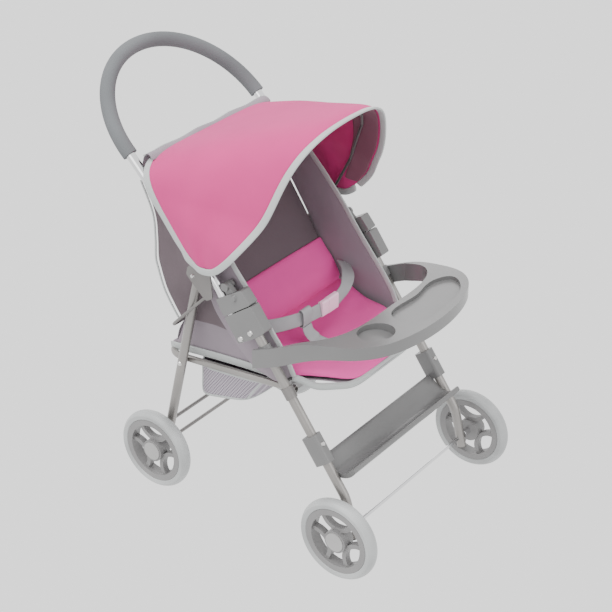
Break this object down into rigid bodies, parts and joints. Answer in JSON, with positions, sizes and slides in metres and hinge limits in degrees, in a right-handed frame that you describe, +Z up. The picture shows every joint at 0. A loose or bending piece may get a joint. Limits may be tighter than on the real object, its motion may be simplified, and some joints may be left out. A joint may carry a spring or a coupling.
{
  "type": "doll stroller",
  "caption": "Folding doll stroller with a bent tube frame, single wheels, foam grip, play tray with cup recess, footrest, canopy, belted fabric seat and mesh basket.",
  "frame": {"origin": "on the ground, centred between the wheels' outermost points in X and under the middle of the overall length in Y", "axes": "+Z up; -Y is the way the stroller rolls forwards; +X is the doll's left hand side, with the doll facing -Y"},
  "size_m": [0.3374, 0.518, 0.5813],
  "materials": {
    "frame_paint": "satin",
    "plug_plastic": "matte",
    "grey_plastic": "satin",
    "rivet_steel": "satin",
    "bracket_steel": "satin",
    "axle_chrome": "polished",
    "dark_rod": "satin",
    "grip_foam": "matte",
    "tyre_grey": "satin",
    "hub_grey": "satin",
    "cap_silver": "gloss",
    "canopy_pink": "matte",
    "seat_grey": "matte",
    "seat_pink": "matte",
    "basket_mesh": "matte",
    "webbing": "matte",
    "buckle_pink": "gloss"
  },
  "bodies": {
    "frame": {"front_leg_left": "frame_paint", "front_leg_right": "frame_paint", "front_leg_plugs": "plug_plastic", "lock_body_left": "grey_plastic", "lock_body_right": "grey_plastic", "lock_rivets": "rivet_steel", "hoop_bracket_left": "bracket_steel", "hoop_bracket_right": "bracket_steel", "hoop_rivets": "rivet_steel", "front_axle": "axle_chrome", "footrest": "grey_plastic", "footrest_screws": "rivet_steel", "tray": "grey_plastic", "tray_clip_left": "grey_plastic", "tray_clip_right": "grey_plastic", "seat_front_wire": "dark_rod", "seat_bottom": "seat_pink", "seat_wing_left": "seat_grey", "seat_wing_right": "seat_grey", "waist_strap_right": "webbing", "buckle_socket": "buckle_pink", "crotch_strap": "webbing"},
    "handle": {"handle_tube": "frame_paint", "handle_grip": "grip_foam", "rear_leg_bracket_left": "bracket_steel", "rear_leg_bracket_right": "bracket_steel", "bracket_rivets": "rivet_steel", "seat_back": "seat_grey", "canopy_fabric": "canopy_pink", "canopy_rear_bow": "dark_rod", "canopy_clips": "grey_plastic"},
    "rear_legs": {"rear_leg_left": "frame_paint", "rear_leg_right": "frame_paint", "rear_leg_plugs": "plug_plastic", "rear_axle": "dark_rod", "rear_cross_rod": "dark_rod", "link_rivets": "rivet_steel", "back_wire": "dark_rod"},
    "basket": {"basket_hoop": "frame_paint", "basket_fabric": "basket_mesh"},
    "latch_slide_left": {"latch_left": "grey_plastic"},
    "latch_slide_right": {"latch_right": "grey_plastic"},
    "canopy_bow": {"canopy_front_bow": "dark_rod"},
    "buckle_half": {"buckle_prongs": "buckle_pink", "waist_strap_left": "webbing"},
    "wheel_front_left": {"hub_front_left": "hub_grey", "tyre_front_left": "tyre_grey", "hub_cap_front_left": "cap_silver"},
    "wheel_front_right": {"hub_front_right": "hub_grey", "tyre_front_right": "tyre_grey", "hub_cap_front_right": "cap_silver"},
    "wheel_rear_left": {"hub_rear_left": "hub_grey", "tyre_rear_left": "tyre_grey", "hub_cap_rear_left": "cap_silver"},
    "wheel_rear_right": {"hub_rear_right": "hub_grey", "tyre_rear_right": "tyre_grey", "hub_cap_rear_right": "cap_silver"}
  },
  "joints": [
    {"name": "handle_fold", "type": "hinge", "parent": "frame", "child": "handle", "pos_m": [0, -0.03007, 0.28161], "axis": [-1, 0, 0], "range_deg": [0, 110], "deforming": ["seat_back", "seat_bottom", "seat_wing_left", "seat_wing_right", "waist_strap_right"]},
    {"name": "leg_fold", "type": "hinge", "parent": "handle", "child": "rear_legs", "pos_m": [0, 0.04756, 0.34723], "axis": [1, 0, 0], "range_deg": [0, 73.6]},
    {"name": "basket_fold", "type": "hinge", "parent": "frame", "child": "basket", "pos_m": [0, -0.09268, 0.21839], "axis": [-1, 0, 0], "range_deg": [0, 71.4], "deforming": ["basket_fabric"]},
    {"name": "latch_left_slide", "type": "slide", "parent": "handle", "child": "latch_slide_left", "axis": [0, 0.585, 0.8111], "range_m": [0, 0.012]},
    {"name": "latch_right_slide", "type": "slide", "parent": "handle", "child": "latch_slide_right", "axis": [0, 0.585, 0.8111], "range_m": [0, 0.012]},
    {"name": "canopy_fold", "type": "hinge", "parent": "handle", "child": "canopy_bow", "pos_m": [0, 0.03229, 0.36208], "axis": [-1, 0, 0], "range_deg": [0, 55], "deforming": ["canopy_fabric"]},
    {"name": "buckle_release", "type": "slide", "parent": "frame", "child": "buckle_half", "axis": [-1, 0, 0], "range_m": [0, 0.016], "deforming": ["waist_strap_left"]},
    {"name": "front_left_wheel_spin", "type": "hinge", "parent": "frame", "child": "wheel_front_left", "pos_m": [0, -0.2015, 0.0575], "axis": [1, 0, 0], "continuous": true},
    {"name": "front_right_wheel_spin", "type": "hinge", "parent": "frame", "child": "wheel_front_right", "pos_m": [0, -0.2015, 0.0575], "axis": [1, 0, 0], "continuous": true},
    {"name": "rear_left_wheel_spin", "type": "hinge", "parent": "rear_legs", "child": "wheel_rear_left", "pos_m": [0, 0.1175, 0.0575], "axis": [1, 0, 0], "continuous": true},
    {"name": "rear_right_wheel_spin", "type": "hinge", "parent": "rear_legs", "child": "wheel_rear_right", "pos_m": [0, 0.1175, 0.0575], "axis": [1, 0, 0], "continuous": true}
  ],
  "couplings": [
    {"joint": "leg_fold", "follows": "handle_fold", "ratio": 0.6686},
    {"joint": "basket_fold", "follows": "handle_fold", "ratio": 0.6483}
  ]
}
